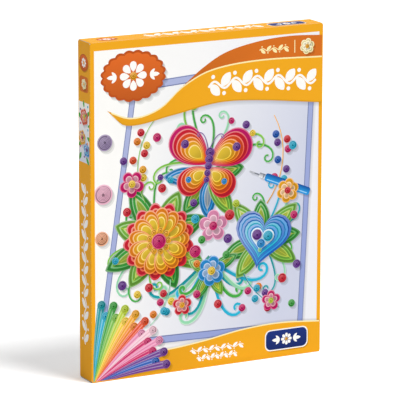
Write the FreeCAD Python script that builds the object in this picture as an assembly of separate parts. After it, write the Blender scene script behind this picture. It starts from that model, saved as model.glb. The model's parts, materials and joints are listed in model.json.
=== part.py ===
import FreeCAD, Part
import math
import os

# Folding carton of a paper craft kit: one creased and glued sheet of board, and the
# tuck flap that closes its top. It stands upright and closed on its bottom.
# X runs across the front to the right, Y from the front to the back, Z up.
# The origin is the middle of the bottom. All lengths are in millimetres.

# Outside of the closed box
width = 282.0
depth = 29.0
height = 370.0

# Board and its creases
board = 0.6
crease_radius = 0.3
stack_gap = 0.1
hinge_gap = 0.05
nick_radius = 1.5

# Tuck flap: a closing panel, and a tongue that slides down inside the front
tongue_length = 15.0
tongue_corner = 9.0
tongue_side_gap = 0.8
tongue_taper = 2.5
front_gap = 0.7
swing_gap = 0.3
slit_length = 10.0
slit_width = 0.5

# Dust flaps, folded in from the two narrow sides under the tuck flap
dust_length = 46.0
dust_shoulder = 1.5
dust_front_taper = 3.0
dust_back_taper = 2.0
dust_corner = 5.0
dust_gap = 0.5

# Glued bottom: the front's seal flap outermost, the back's above it, then two dust flaps
seal_edge_inset = 0.3
inner_seal_length = 22.0
bottom_dust_length = 46.0

# Glue flap down the inside of the back, from the right-hand side
glue_width = 16.0
glue_taper = 9.0
glue_root = 2.0

# Levels and faces that follow from the sizes above
fold = board + crease_radius
half_width = width / 2
front = -depth / 2
back = depth / 2
flat_half = half_width - fold
side_front = front + fold
side_back = back - board - fold
dust_top = height - board - stack_gap
wall_top = dust_top - fold
back_top = height - board - hinge_gap
wall_bottom = 2 * board + fold
lap = 4.0

# Line that the tuck flap turns about: the middle of the board at the top of the back
hinge_y = back - board / 2
hinge_z = height - board / 2


def on_plane(plane, a, b, level):
    """A point at (a, b) on the plane xy, xz or yz, at a level along the third axis."""
    if plane == "xy":
        return FreeCAD.Vector(a, b, level)
    if plane == "xz":
        return FreeCAD.Vector(a, level, b)
    return FreeCAD.Vector(level, a, b)


def turned(a, b, angle):
    """The vector (a, b) turned anticlockwise by an angle in radians."""
    return (
        a * math.cos(angle) - b * math.sin(angle),
        a * math.sin(angle) + b * math.cos(angle),
    )


def slab(plane, edges, low, high):
    """A closed outline of edges at the level low, filled and raised to the level high."""
    face = Part.Face(Part.Wire(Part.__sortEdges__(edges)))
    return face.extrude(on_plane(plane, 0, 0, high - low))


def die_cut(plane, corners, low, high):
    """A slab whose outline passes corners (a, b, radius), each rounded by its radius."""
    ends = []
    edges = []
    for index, (a, b, radius) in enumerate(corners):
        before = corners[index - 1]
        after = corners[(index + 1) % len(corners)]
        way_in = math.atan2(before[1] - b, before[0] - a)
        way_out = math.atan2(after[1] - b, after[0] - a)
        half_angle = abs((way_out - way_in + math.pi) % (2 * math.pi) - math.pi) / 2
        if radius == 0:
            ends.append((on_plane(plane, a, b, low),) * 2)
            continue
        reach = radius / math.tan(half_angle)
        start = (a + reach * math.cos(way_in), b + reach * math.sin(way_in))
        end = (a + reach * math.cos(way_out), b + reach * math.sin(way_out))
        middle_a = math.cos(way_in) + math.cos(way_out)
        middle_b = math.sin(way_in) + math.sin(way_out)
        away = (radius / math.sin(half_angle) - radius) / math.hypot(middle_a, middle_b)
        through = (a + away * middle_a, b + away * middle_b)
        points = [on_plane(plane, *point, low) for point in (start, through, end)]
        edges.append(Part.Arc(*points).toShape())
        ends.append((points[0], points[2]))
    for index, (entry, _) in enumerate(ends):
        leave = ends[index - 1][1]
        if leave.distanceToPoint(entry) > 1e-6:
            edges.append(Part.makeLine(leave, entry))
    return slab(plane, edges, low, high)


def folded_board(plane, corner, inward, wall_way, wall_leg, flap_leg, low, high):
    """A wall that turns a crease into a flap. Corner is where their outer faces would
    meet, inward is the way the flap goes along the first axis, and wall_way the way
    the wall goes along the second. Low and high are the ends of the crease."""
    across, along = corner

    def place(a, b):
        return on_plane(plane, across + inward * a, along + wall_way * b, low)

    def bend(radius):
        near = fold - radius * math.cos(math.pi / 4)
        return Part.Arc(place(fold - radius, fold), place(near, near), place(fold, fold - radius))

    edges = [
        Part.makeLine(place(0, wall_leg), place(0, fold)),
        bend(fold).toShape(),
        Part.makeLine(place(fold, 0), place(flap_leg, 0)),
        Part.makeLine(place(flap_leg, 0), place(flap_leg, board)),
        Part.makeLine(place(flap_leg, board), place(fold, board)),
        bend(crease_radius).toShape(),
        Part.makeLine(place(board, fold), place(board, wall_leg)),
        Part.makeLine(place(board, wall_leg), place(0, wall_leg)),
    ]
    return slab(plane, edges, low, high)


def tongue_lean():
    """Angle by which the tongue leans in, so that its tip clears the front as it swings."""
    bend_y = front + board + front_gap + fold
    bend_z = height - fold
    to_hinge = math.hypot(hinge_y - bend_y, hinge_z - bend_z)
    to_tip = math.hypot(fold, tongue_length)
    hinge_to_tip = hinge_y - (front + board) - swing_gap
    at_bend = math.acos(
        (to_hinge**2 + to_tip**2 - hinge_to_tip**2) / (2 * to_hinge * to_tip)
    )
    upright_tip = math.atan2(-tongue_length, -fold)
    tip_way = math.atan2(hinge_z - bend_z, hinge_y - bend_y) - at_bend
    return tip_way - upright_tip


def tongue_face_distance():
    """Distance from the hinge line to the plane of the tongue's inner face."""
    lean = tongue_lean()
    bend_y = front + board + front_gap + fold
    bend_z = height - fold
    outward_y, outward_z = turned(-1, 0, lean)
    return (bend_y - hinge_y) * outward_y + (bend_z - hinge_z) * outward_z + crease_radius


def carton_walls():
    """Front, back and sides round the box, with the glue flap and its seam."""
    middle = fold - fold * math.cos(math.pi / 4)
    inner_middle = fold - crease_radius * math.cos(math.pi / 4)
    glue_end = half_width - board - glue_width
    seam_back = back - board

    def corner_bend(side, edge, toward, reach, radius):
        """Arc of a crease at a corner of the box: side is -1 or 1, toward is inwards."""
        outer = fold - radius
        return Part.Arc(
            FreeCAD.Vector(side * (half_width - outer), edge + toward * fold, wall_bottom),
            FreeCAD.Vector(side * (half_width - reach), edge + toward * reach, wall_bottom),
            FreeCAD.Vector(side * (half_width - fold), edge + toward * outer, wall_bottom),
        ).toShape()

    def run(*points):
        """Straight edges through points on the bottom of the walls."""
        places = [FreeCAD.Vector(x, y, wall_bottom) for x, y in points]
        return [Part.makeLine(a, b) for a, b in zip(places, places[1:])]

    outer_edges = [
        *run((-flat_half, back), (half_width, back), (half_width, seam_back), (flat_half, seam_back)),
        corner_bend(1, seam_back, -1, middle, fold),
        *run((half_width, side_back), (half_width, side_front)),
        corner_bend(1, front, 1, middle, fold),
        *run((flat_half, front), (-flat_half, front)),
        corner_bend(-1, front, 1, middle, fold),
        *run((-half_width, side_front), (-half_width, back - fold)),
        corner_bend(-1, back, -1, middle, fold),
    ]
    inside = half_width - board
    inner_edges = [
        *run((flat_half, seam_back - board), (glue_end, seam_back - board), (glue_end, seam_back)),
        *run((glue_end, seam_back), (-flat_half, seam_back)),
        corner_bend(-1, back, -1, inner_middle, crease_radius),
        *run((-inside, back - fold), (-inside, side_front)),
        corner_bend(-1, front, 1, inner_middle, crease_radius),
        *run((-flat_half, front + board), (flat_half, front + board)),
        corner_bend(1, front, 1, inner_middle, crease_radius),
        *run((inside, side_front), (inside, side_back)),
        corner_bend(1, seam_back, -1, inner_middle, crease_radius),
    ]
    walls = slab("xy", outer_edges, wall_bottom, wall_top)
    walls = walls.cut(slab("xy", inner_edges, wall_bottom, wall_top))
    glue_root_x = flat_half - glue_root
    for end, way in ((wall_top, -1), (wall_bottom, 1)):
        taper = [(glue_end, end, 0), (glue_root_x, end, 0), (glue_end, end + way * glue_taper, 0)]
        walls = walls.cut(die_cut("xz", taper, seam_back - board, seam_back))
    return walls


def wall_heads():
    """Top edges of the front and back panels, which rise past the narrow sides."""
    front_head = [
        (-flat_half, wall_top - lap, 0),
        (flat_half, wall_top - lap, 0),
        (flat_half, height, nick_radius),
        (-flat_half, height, nick_radius),
    ]
    back_head = [
        (-flat_half, wall_top - lap, 0),
        (flat_half, wall_top - lap, 0),
        (flat_half, back_top, 0),
        (-flat_half, back_top, 0),
    ]
    return [
        die_cut("xz", front_head, front, front + board),
        die_cut("xz", back_head, back - board, back),
    ]


def top_dust_flap(side):
    """Dust flap on the left (-1) or right (1), cut back where the tongue swings past."""
    crease_x = side * half_width
    swing_edge = hinge_y - tongue_face_distance() + board + dust_gap
    flap = folded_board(
        "xz", (crease_x, dust_top), -side, -1, fold + lap, dust_length, side_front, side_back
    )
    shoulder = side * (half_width - dust_shoulder)
    free_end = side * (half_width - dust_length)
    plan = [
        (crease_x, side_front, 0),
        (shoulder, side_front, 0),
        (shoulder - side * dust_gap, swing_edge, 0),
        (free_end, swing_edge + dust_front_taper, dust_corner),
        (free_end, side_back - dust_back_taper, dust_corner),
        (shoulder, side_back, 0),
        (crease_x, side_back, 0),
    ]
    return flap.common(die_cut("xy", plan, wall_top - lap, dust_top))


def glued_bottom():
    """Seal flaps of the front and the back, and the two dust flaps above them."""
    wall_leg = wall_bottom + lap
    outer_seal = folded_board(
        "yz", (front, 0), 1, 1, wall_leg, depth - seal_edge_inset, -flat_half, flat_half
    )
    inner_seal = folded_board(
        "yz", (back, board), -1, 1, wall_leg - board, inner_seal_length, -flat_half, flat_half
    )
    dust_leg = wall_leg - 2 * board
    dust_flaps = [
        folded_board(
            "xz", (side * half_width, 2 * board), -side, 1,
            dust_leg, bottom_dust_length, side_front, side_back,
        )
        for side in (-1, 1)
    ]
    return [outer_seal, inner_seal, *dust_flaps]


def carton():
    """The whole glued sheet, without the tuck flap."""
    sheet = carton_walls()
    dust_flaps = [top_dust_flap(side) for side in (-1, 1)]
    return sheet.fuse([*wall_heads(), *dust_flaps, *glued_bottom()]).removeSplitter()


def top_flap():
    """Closing panel and tongue, with a round edge at the hinge line and slit locks."""
    lean = tongue_lean()
    bend_y = front + board + front_gap + fold
    bend_z = height - fold
    panel_bottom = height - board

    def on_bend(radius, angle, down=0.0):
        """A point on the tongue's fold, or that far down along the tongue from it."""
        a, b = turned(-radius, -down, angle)
        return on_plane("yz", bend_y + a, bend_z + b, -flat_half)

    def bend(radius):
        quarter = -math.pi / 2
        half_way = (lean + quarter) / 2
        return Part.Arc(on_bend(radius, quarter), on_bend(radius, half_way), on_bend(radius, lean))

    hinge_arc = Part.Arc(
        on_plane("yz", hinge_y, height, -flat_half),
        on_plane("yz", back, hinge_z, -flat_half),
        on_plane("yz", hinge_y, panel_bottom, -flat_half),
    )
    outer_tip = on_bend(fold, lean, tongue_length)
    inner_tip = on_bend(crease_radius, lean, tongue_length)
    edges = [
        Part.makeLine(on_bend(fold, -math.pi / 2), on_plane("yz", hinge_y, height, -flat_half)),
        hinge_arc.toShape(),
        Part.makeLine(
            on_plane("yz", hinge_y, panel_bottom, -flat_half), on_bend(crease_radius, -math.pi / 2)
        ),
        bend(crease_radius).toShape(),
        Part.makeLine(on_bend(crease_radius, lean), inner_tip),
        Part.makeLine(inner_tip, outer_tip),
        Part.makeLine(outer_tip, on_bend(fold, lean)),
        bend(fold).toShape(),
    ]
    folded = slab("yz", edges, -flat_half, flat_half)

    tip_z = min(outer_tip.z, inner_tip.z)
    tongue_half = half_width - dust_shoulder - tongue_side_gap
    slit_end = flat_half - slit_length
    right_half = [
        (flat_half, height, 0),
        (flat_half, panel_bottom, 0),
        (tongue_half, panel_bottom, 0),
        (tongue_half, bend_z, 0),
        (slit_end, bend_z, 0),
        (slit_end, bend_z - slit_width, 0),
        (tongue_half, bend_z - slit_width, 0.5),
        (tongue_half - tongue_taper, tip_z, tongue_corner),
    ]
    left_half = [(-x, z, radius) for x, z, radius in reversed(right_half)]
    return folded.common(die_cut("xz", right_half + left_half, front, back))


nodes = {
    "carton": carton,
    "top_flap": top_flap,
}

os.makedirs("parts", exist_ok=True)
for name, make in nodes.items():
    shape = make()
    shape.exportStep("parts/" + name + ".step")
    print(name, shape.ShapeType, len(shape.Solids), shape.isValid(), round(shape.Volume, 1))
print("tongue lean in degrees", round(math.degrees(tongue_lean()), 2))
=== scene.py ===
import json
import math

import bmesh
import bpy
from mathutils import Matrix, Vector
from mathutils.geometry import delaunay_2d_cdt


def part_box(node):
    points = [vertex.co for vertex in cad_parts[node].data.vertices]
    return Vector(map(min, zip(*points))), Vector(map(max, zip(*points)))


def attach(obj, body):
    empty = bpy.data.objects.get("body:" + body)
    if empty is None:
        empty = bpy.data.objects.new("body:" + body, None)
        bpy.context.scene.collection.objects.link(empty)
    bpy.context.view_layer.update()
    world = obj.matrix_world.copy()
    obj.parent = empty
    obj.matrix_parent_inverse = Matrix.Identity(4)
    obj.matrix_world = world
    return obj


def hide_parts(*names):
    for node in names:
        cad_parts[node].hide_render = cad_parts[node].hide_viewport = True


bl_info = {
    "name": "Craft kit box",
    "version": (1, 0, 0),
    "blender": (4, 5, 0),
    "location": "3D View > Sidebar > Craft kit box",
    "description": "Dresses a folding carton with its print, board and studio",
    "category": "Object",
}

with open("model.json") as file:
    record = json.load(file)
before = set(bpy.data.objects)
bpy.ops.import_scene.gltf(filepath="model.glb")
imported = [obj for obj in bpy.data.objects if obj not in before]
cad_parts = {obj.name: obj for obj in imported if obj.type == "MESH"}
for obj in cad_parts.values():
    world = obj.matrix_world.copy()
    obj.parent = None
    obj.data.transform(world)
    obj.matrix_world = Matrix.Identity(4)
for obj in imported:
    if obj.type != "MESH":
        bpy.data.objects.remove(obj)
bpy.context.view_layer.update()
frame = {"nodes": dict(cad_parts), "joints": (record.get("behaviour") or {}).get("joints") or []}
BOX_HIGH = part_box("carton")[1]
HINGE = Vector(frame["joints"][0]["pos_m"])

MM = 0.001
HALF_WIDTH = BOX_HIGH[0] / MM
HALF_DEPTH = BOX_HIGH[1] / MM
HEIGHT = BOX_HIGH[2] / MM
BOARD = (BOX_HIGH[1] - HINGE[1]) / MM * 2
# How far the fields of the print stay from an upright crease, in mm
CREASE_GAP = 1.6

# The print's light comes from the upper left, as on a table beside a window
PRINT_LIGHT = math.radians(125)
# Half of this many square millimetres is too little for a field
SMALLEST_FIELD = 1e-4


def linear(channel):
    """One channel of a screen colour, 0 to 255, as light."""
    share = channel / 255
    if share <= 0.04045:
        return share / 12.92
    return ((share + 0.055) / 1.055) ** 2.4


def ink(red, green, blue):
    """A screen colour as linear light."""
    return Vector((linear(red), linear(green), linear(blue)))


WHITE = ink(255, 254, 250)
CREAM = ink(255, 240, 178)


def share_setting(name, description, default):
    """A setting from 0 to 1."""
    return bpy.props.FloatProperty(
        name=name, description=description, default=default, min=0.0, max=1.0, subtype="FACTOR",
    )


def size_setting(name, description, default, least=0.0):
    """A size in mm."""
    return bpy.props.FloatProperty(name=name, description=description, default=default, min=least, max=20.0)


def angle_setting(name, description, degrees):
    """An angle, given in degrees."""
    return bpy.props.FloatProperty(
        name=name, description=description, default=math.radians(degrees), subtype="ANGLE",
    )


def length_setting(name, description, default):
    """A length in metres."""
    return bpy.props.FloatProperty(name=name, description=description, default=default, unit="LENGTH")


def light_setting(name, description, default):
    """A strength of light."""
    return bpy.props.FloatProperty(name=name, description=description, default=default, min=0.0)


def ink_setting(name, description, default):
    """A colour of the print."""
    return bpy.props.FloatVectorProperty(
        name=name, description=description, default=tuple(default), size=3, min=0.0, max=1.0,
        subtype="COLOR",
    )


class CK_BoardSizes(bpy.types.PropertyGroup):
    """Sizes of the board that the print doesn't set."""

    bleed: size_setting("Bleed", "How far the ink runs on over the crease of a folded flap, in mm", 6.0)
    smooth_angle: angle_setting("Smooth angle", "Bends gentler than this are shaded smooth", 35)
    fibre: share_setting("Fibre", "Strength of the paper fibre in the surface", 0.5)
    # Crease wear also paints a highlight along the upright creases, where they catch light
    wear_and_highlight: share_setting("Crease ink cracks and painted highlight", "How much board shows where the ink cracks on the creases", 0.35)


class CK_PrintColours(bpy.types.PropertyGroup):
    """Inks and widths of the large fields."""

    border: ink_setting("Border", "Orange of the border, the sides and the bands", ink(243, 171, 33))
    deep_band: ink_setting("Deep band", "Burnt orange of the band behind the title band", ink(216, 113, 36))
    frame: ink_setting("Picture frame", "Lilac of the picture frame", ink(146, 160, 214))
    scallop: ink_setting("Scalloped label", "Burnt orange of the scalloped labels", ink(206, 98, 36))
    scallop_rim: ink_setting("Label rim", "Rim of the scalloped labels", ink(190, 84, 30))
    plaque: ink_setting("Plaque", "Navy of the plaques", ink(29, 47, 112))
    border_width: size_setting("Border width", "Width of the border beside the picture, in mm", 5.0, 1.0)
    top_border: size_setting("Top border", "Height of the border over the picture, in mm", 9.0, 1.0)


class CK_Studio(bpy.types.PropertyGroup):
    """Camera and light."""

    azimuth: angle_setting("Azimuth", "Camera's turn round the box", -27.709)
    elevation: angle_setting("Elevation", "Camera's height above the horizon", 12.809)
    roll: angle_setting("Roll", "Camera's tilt about its own axis", 0.111)
    distance: length_setting("Distance", "From the camera to the point that it looks at", 3.4284)
    aim: bpy.props.FloatVectorProperty(
        name="Aim", description="Point that the camera looks at, from the middle of the box",
        default=(-0.00253, 0.0, -0.00045), size=3, subtype="TRANSLATION", unit="LENGTH",
    )
    lens: bpy.props.FloatProperty(
        name="Lens", description="Focal length on a 36 mm sensor, in mm", default=284.9, unit="CAMERA",
    )
    sun_from: bpy.props.FloatVectorProperty(
        name="Key light direction", description="Where the key light comes from",
        default=(0.29, -0.42, 0.86), size=3, subtype="DIRECTION",
    )
    sun_width: angle_setting("Key light width", "How wide the key light looks from the box", 24)
    sun: light_setting("Key light", "Strength of the key light", 2.6)
    sky: light_setting("Fill light", "Strength of the light from all round", 0.4)
    floor_size: length_setting("Floor size", "Length of each side of the floor", 40.0)
    floor_glow: light_setting("Floor glow", "Lifts the shadow that the camera sees on the floor", 0.28)


# Colour fields of the print


def flat(colour):
    """Paint of one colour."""
    return lambda u, v: colour


def fade(first, second, start, end):
    """Paint that goes evenly from one colour at start to another at end."""
    run = (end[0] - start[0], end[1] - start[1])
    length = run[0] ** 2 + run[1] ** 2

    def paint(u, v):
        share = ((u - start[0]) * run[0] + (v - start[1]) * run[1]) / length
        return first.lerp(second, min(1.0, max(0.0, share)))

    return paint


def rounded(colour, centre, lift=0.35, sink=0.35):
    """Paint of a round wall of paper: lighter on the side of the light, darker away."""
    light = colour.lerp(WHITE, lift)
    dark = colour * (1 - sink)

    def paint(u, v):
        facing = 0.5 + 0.5 * math.cos(math.atan2(v - centre[1], u - centre[0]) - PRINT_LIGHT)
        return dark.lerp(light, facing)

    return paint


def moved(u, v, along, across, angle):
    """The point (u, v) moved along a way at that angle, and across to its left."""
    return (
        u + (along * math.cos(angle) - across * math.sin(angle)),
        v + (along * math.sin(angle) + across * math.cos(angle)),
    )


def points_for(size, least=12, most=72):
    """How many points an outline of that size in mm needs, an even number of them."""
    return 2 * round(min(most, max(least, 8 + 1.6 * size)) / 2)


def circle(u, v, radius, count=None):
    """Outline of a circle."""
    count = count or points_for(radius)
    steps = [2 * math.pi * k / count for k in range(count)]
    return [(u + radius * math.cos(a), v + radius * math.sin(a)) for a in steps]


def teardrop(u, v, angle, length, width, point):
    """Outline of a drop with its point at (u, v) and its round end length away."""
    outline = []
    count = points_for(length * 0.4)
    for k in range(count):
        a = 2 * math.pi * k / count
        along = length * (1 - math.cos(a)) / 2
        across = width / 2 * math.sin(a) * abs(math.sin(a / 2)) ** point * 1.3
        outline.append(moved(u, v, along, across, angle))
    return outline


def leaf_outline(u, v, angle, length, width):
    """Outline of a leaf, pointed at both ends."""
    outline = []
    count = points_for(length * 0.3)
    for k in range(count):
        a = 2 * math.pi * k / count
        along = length * (1 - math.cos(a)) / 2
        across = width / 2 * math.sin(a) * abs(math.sin(a)) ** 0.6
        outline.append(moved(u, v, along, across, angle))
    return outline


def rectangle(left, bottom, right, top):
    """Outline of an upright rectangle."""
    return [(left, bottom), (right, bottom), (right, top), (left, top)]


def scalloped(u, v, width, height, bows=20, points_in_bow=8):
    """Outline of an oval whose edge runs in small bows."""
    outline = []
    for k in range(bows * points_in_bow):
        a = 2 * math.pi * k / (bows * points_in_bow)
        reach = 0.93 + 0.07 * abs(math.sin(bows * a / 2))
        outline.append((u + width / 2 * reach * math.cos(a), v + height / 2 * reach * math.sin(a)))
    return outline


def square_cut(u, v, width, height):
    """Outline of an upright label with round corners."""
    return rounded_box(u, v, 0, width, height, height * 0.28)


def smooth_curve(points):
    """A line through a few points that gives its height at any u."""
    slopes = []
    for k in range(len(points)):
        before, after = points[max(0, k - 1)], points[min(len(points) - 1, k + 1)]
        slopes.append((after[1] - before[1]) / (after[0] - before[0]))

    def height(u):
        k = max(k for k in range(len(points) - 1) if k == 0 or points[k][0] <= u)
        (u0, v0), (u1, v1) = points[k], points[k + 1]
        t = (u - u0) / (u1 - u0)
        rise = (slopes[k] * (1 - t) - slopes[k + 1] * t) * t * (1 - t) * (u1 - u0)
        return v0 + (v1 - v0) * t * t * (3 - 2 * t) + rise

    return height


def heart_outline(u, v, angle, size, count=32):
    """Outline of a heart of that width about (u, v)."""
    outline = []
    for k in range(count):
        a = 2 * math.pi * (k + 0.5) / count
        across = 16 * math.sin(a) ** 3
        along = 13 * math.cos(a) - 5 * math.cos(2 * a) - 2 * math.cos(3 * a) - math.cos(4 * a)
        outline.append(moved(u, v, -across * size / 32, (along + 2) * size / 32, angle))
    return outline


def rounded_box(u, v, angle, length, width, radius, count=5):
    """Outline of a box with round corners about (u, v)."""
    outline = []
    for quarter, (side_u, side_v) in enumerate(((1, 1), (-1, 1), (-1, -1), (1, -1))):
        for k in range(count + 1):
            a = math.pi / 2 * (quarter + k / count)
            corner_u = side_u * (length / 2 - radius) + radius * math.cos(a)
            corner_v = side_v * (width / 2 - radius) + radius * math.sin(a)
            outline.append(moved(u, v, corner_u, corner_v, angle))
    return outline


def curl_path(u, v, angle, length, sweep, turns, grip=6.0):
    """Points of a strand that sweeps gently and then winds up into a coil at its end,
    where they lie closer together."""
    points = [(u, v)]
    count = round(10 + 13 * abs(turns))
    marks = [1 - (1 - k / count) ** (1 + abs(turns)) for k in range(count + 1)]
    for before, after in zip(marks, marks[1:]):
        share = (before + after) / 2
        step = length * (after - before)
        heading = angle + sweep * share + 2 * math.pi * turns * share**grip
        u += step * math.cos(heading)
        v += step * math.sin(heading)
        points.append((u, v))
    return points


def spiral_path(u, v, inner, outer, turns, start=0.0):
    """Points of a spiral from its middle outwards."""
    per_turn = 12 if outer < 6 else 18
    count = max(4, round(turns * per_turn))
    points = []
    for k in range(count + 1):
        share = k / count
        a = start + 2 * math.pi * turns * share
        radius = inner + (outer - inner) * share
        points.append((u + radius * math.cos(a), v + radius * math.sin(a)))
    return points


def clipped(outline, window):
    """The part of an outline that lies inside the window (left, bottom, right, top)."""
    left, bottom, right, top = window
    sides = ((0, left, 1), (0, right, -1), (1, bottom, 1), (1, top, -1))
    for axis, limit, sign in sides:
        kept = []
        for index, point in enumerate(outline):
            before = outline[index - 1]
            inside = (point[axis] - limit) * sign >= 0
            was_inside = (before[axis] - limit) * sign >= 0
            if inside != was_inside:
                share = (limit - before[axis]) / (point[axis] - before[axis])
                kept.append(tuple(b + share * (p - b) for b, p in zip(before, point)))
            if inside:
                kept.append(point)
        outline = kept
    return outline


def signed_area(outline):
    """Twice the area of an outline, positive where it runs anticlockwise."""
    following = outline[1:] + outline[:1]
    return sum(a[0] * b[1] - b[0] * a[1] for a, b in zip(outline, following))


class Print:
    """Fields of colour laid over each other, from the bottom up."""

    def __init__(self, window, ground):
        self.window = window
        self.ground = ground
        self.fields = []
        self.piece = 0

    def add(self, outline, paint, share):
        """Adds a field, cut off at the window and running anticlockwise."""
        shape = clipped(outline, self.window)
        area = signed_area(shape)
        if abs(area) < SMALLEST_FIELD:
            return
        if area < 0:
            shape.reverse()
        self.fields.append((shape, paint, share, self.piece))

    def lay(self, outline, paint):
        """A field that covers what lies under it."""
        self.add(outline, paint, None)

    def dim(self, outline, share):
        """A shadow, which darkens what lies under it once for each piece."""
        self.add(outline, None, share)

    def shadow(self, outlines, reach=2.4, depth=0.12, steps=3):
        """A soft shadow to the lower right of outlines."""
        for k in range(steps, 0, -1):
            self.piece += 1
            shift = reach * k / steps
            for outline in outlines:
                self.dim([(u + shift * 0.75, v - shift) for u, v in outline], 1 - depth)
        self.piece += 1

    def strand_outline(self, path, widths, inner=-1.0, outer=1.0):
        """Outline of a strand along a path. Inner and outer say where its sides lie, as
        shares of half its width."""
        count = len(path) - 1
        sides = ([], [])
        for k, (u, v) in enumerate(path):
            before = path[max(0, k - 1)]
            after = path[min(count, k + 1)]
            run = math.hypot(after[0] - before[0], after[1] - before[1]) or 1.0
            normal = (-(after[1] - before[1]) / run, (after[0] - before[0]) / run)
            half = widths(k / count) / 2
            for side, share in zip(sides, (inner, outer)):
                side.append((u + normal[0] * half * share, v + normal[1] * half * share))
        return sides[0] + sides[1][::-1]

    def strand(self, path, colour, width, taper=0.35, edge=True, cast=1.6):
        """A paper strand seen from its edge, with a light line along one side."""

        def widths(share):
            return width * (1 - taper * share)

        outline = self.strand_outline(path, widths)
        if cast:
            self.shadow([outline], reach=cast, depth=0.17, steps=2)
        else:
            self.piece += 1
        self.lay(outline, fade(colour * 0.62, colour, path[0], path[len(path) // 2]))
        if edge:
            self.lay(self.strand_outline(path, widths, inner=0.45), flat(colour.lerp(WHITE, 0.35)))

    def coil(self, u, v, radius, colour, cast=True):
        """A tight coil of paper seen from above."""
        outline = circle(u, v, radius)
        if cast:
            self.shadow([outline], reach=min(3.6, radius * 0.7), depth=0.2, steps=2)
        else:
            self.piece += 1
        self.lay(outline, rounded(colour, (u, v), 0.16, 0.1))
        if radius < 1.8:
            return
        self.lay(circle(u, v, radius * 0.85), rounded(colour * 0.5, (u, v), 0.0, 0.4))
        laps = max(1.5, radius / 2.4)
        path = spiral_path(u, v, radius * 0.14, radius * 0.76, laps, start=radius)
        spiral = self.strand_outline(path, lambda share: radius / laps * 0.36)
        self.lay(spiral, rounded(colour, (u, v), 0.12, 0.15))
        self.lay(circle(u + radius * 0.03, v - radius * 0.03, radius * 0.14, 6), flat(colour * 0.25))

    def nest(self, outlines, colours, depth=0.78):
        """Bands of paper one inside the other, each with a light upper edge. Depth is the
        share of its light that a band keeps between its edges."""
        self.piece += 1
        for outline, colour in zip(outlines, colours):
            centre = tuple(sum(c) / len(outline) for c in zip(*outline))
            narrow = min(math.dist(point, centre) for point in outline)
            share = max(0.6, 1 - 0.9 / narrow)
            inner = [tuple(c + (p - c) * share for p, c in zip(point, centre)) for point in outline]
            self.lay(outline, rounded(colour, centre, 0.28, 0.05))
            self.lay(inner, rounded(colour * depth, centre, 0.0, 0.3))

    def petal(self, u, v, angle, length, width, colours, shrink, point):
        """A petal of nested drops that share their point."""
        outlines = []
        for k in range(len(colours)):
            root = moved(u, v, length * 0.035 * k, 0, angle)
            scale = 1 - shrink * k
            outlines.append(teardrop(*root, angle, length * scale, width * scale, point))
        self.shadow(outlines[:1], reach=3.0, depth=0.18, steps=2)
        self.nest(outlines, colours)

    def leaf(self, u, v, angle, length, width, colour):
        """A leaf of nested bands with a light midrib."""
        tones = (colour * 0.72, colour, colour.lerp(YELLOW, 0.3))
        outlines = []
        for k in range(3):
            root = moved(u, v, length * 0.1 * k, 0, angle)
            outlines.append(leaf_outline(*root, angle, length * (1 - 0.2 * k), width * (1 - 0.3 * k)))
        self.shadow(outlines[:1], reach=3.0, depth=0.18, steps=2)
        self.nest(outlines, tones)
        rib = [(u, v), moved(u, v, length * 0.86, 0, angle)]
        self.strand(rib, colour.lerp(YELLOW, 0.5), 0.7, edge=False, cast=0)

    def curl(self, u, v, angle, length, sweep, turns, colour, width):
        """A strand with a coiled end. The angles are in degrees."""
        path = curl_path(u, v, math.radians(angle), length, math.radians(sweep), turns)
        self.strand(path, colour, width)


# Inks and motifs of the picture

MAGENTA = ink(216, 28, 112)
CRIMSON = ink(222, 36, 56)
RED_ORANGE = ink(236, 82, 38)
ORANGE = ink(246, 138, 30)
AMBER = ink(250, 176, 36)
YELLOW = ink(254, 214, 66)
PURPLE = ink(112, 58, 152)
COBALT = ink(28, 96, 190)
SKY_BLUE = ink(44, 150, 222)
CYAN = ink(40, 182, 216)
TEAL = ink(24, 160, 168)
LEAF_GREEN = ink(70, 172, 72)
GRASS = ink(132, 198, 76)
MINT = ink(150, 218, 176)
PINK = ink(240, 150, 190)
ROSE = ink(250, 206, 220)
LIME = ink(196, 218, 60)


def butterfly(art, u, v, size, tilt=0.0):
    """A butterfly of four nested wings with a coiled body and two curled feelers."""
    upper = (MAGENTA, CRIMSON, RED_ORANGE, ORANGE, AMBER, YELLOW)
    lower = (CRIMSON, RED_ORANGE, ORANGE, AMBER, YELLOW)
    lean = math.radians(tilt)
    for side in (1, -1):
        low_way = math.pi / 2 - side * math.radians(128) + lean
        high_way = math.pi / 2 - side * math.radians(56) + lean
        art.petal(u, v - size * 0.06, low_way, size * 0.72, size * 0.5, lower, shrink=0.16, point=0.7)
        art.petal(u, v + size * 0.02, high_way, size, size * 0.66, upper, shrink=0.13, point=0.8)
        art.coil(*moved(u, v, size * 0.66, 0, high_way), size * 0.085, PURPLE, cast=False)
        art.coil(*moved(u, v, size * 0.48, 0, low_way), size * 0.06, SKY_BLUE, cast=False)
        feeler = 90 - side * 14 + tilt
        art.curl(u, v + size * 0.24, feeler, size * 0.62, -side * 30, -side * 1.1, PURPLE, width=1.3)
    for k in range(5):
        place = moved(u, v, 0, size * (0.24 - 0.13 * k), lean)
        art.coil(*place, size * (0.095 - 0.009 * k), PURPLE)


def sunflower(art, u, v, radius, rays=13):
    """A flower of drop-shaped rays round a coiled middle."""
    for offset, share, tones in (
        (0.5, 1.0, (CRIMSON, RED_ORANGE, ORANGE)),
        (0.0, 0.84, (ORANGE, AMBER, YELLOW)),
    ):
        for k in range(rays):
            angle = 2 * math.pi * (k + offset) / rays
            root = moved(u, v, radius * 0.16, 0, angle)
            length = radius * 0.84 * share
            art.petal(*root, angle, length, radius * 0.36, tones, shrink=0.2, point=0.5)
    for k in range(9):
        art.coil(*moved(u, v, radius * 0.27, 0, 2 * math.pi * k / 9), radius * 0.085, AMBER)
    art.coil(u, v, radius * 0.2, MAGENTA)


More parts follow.
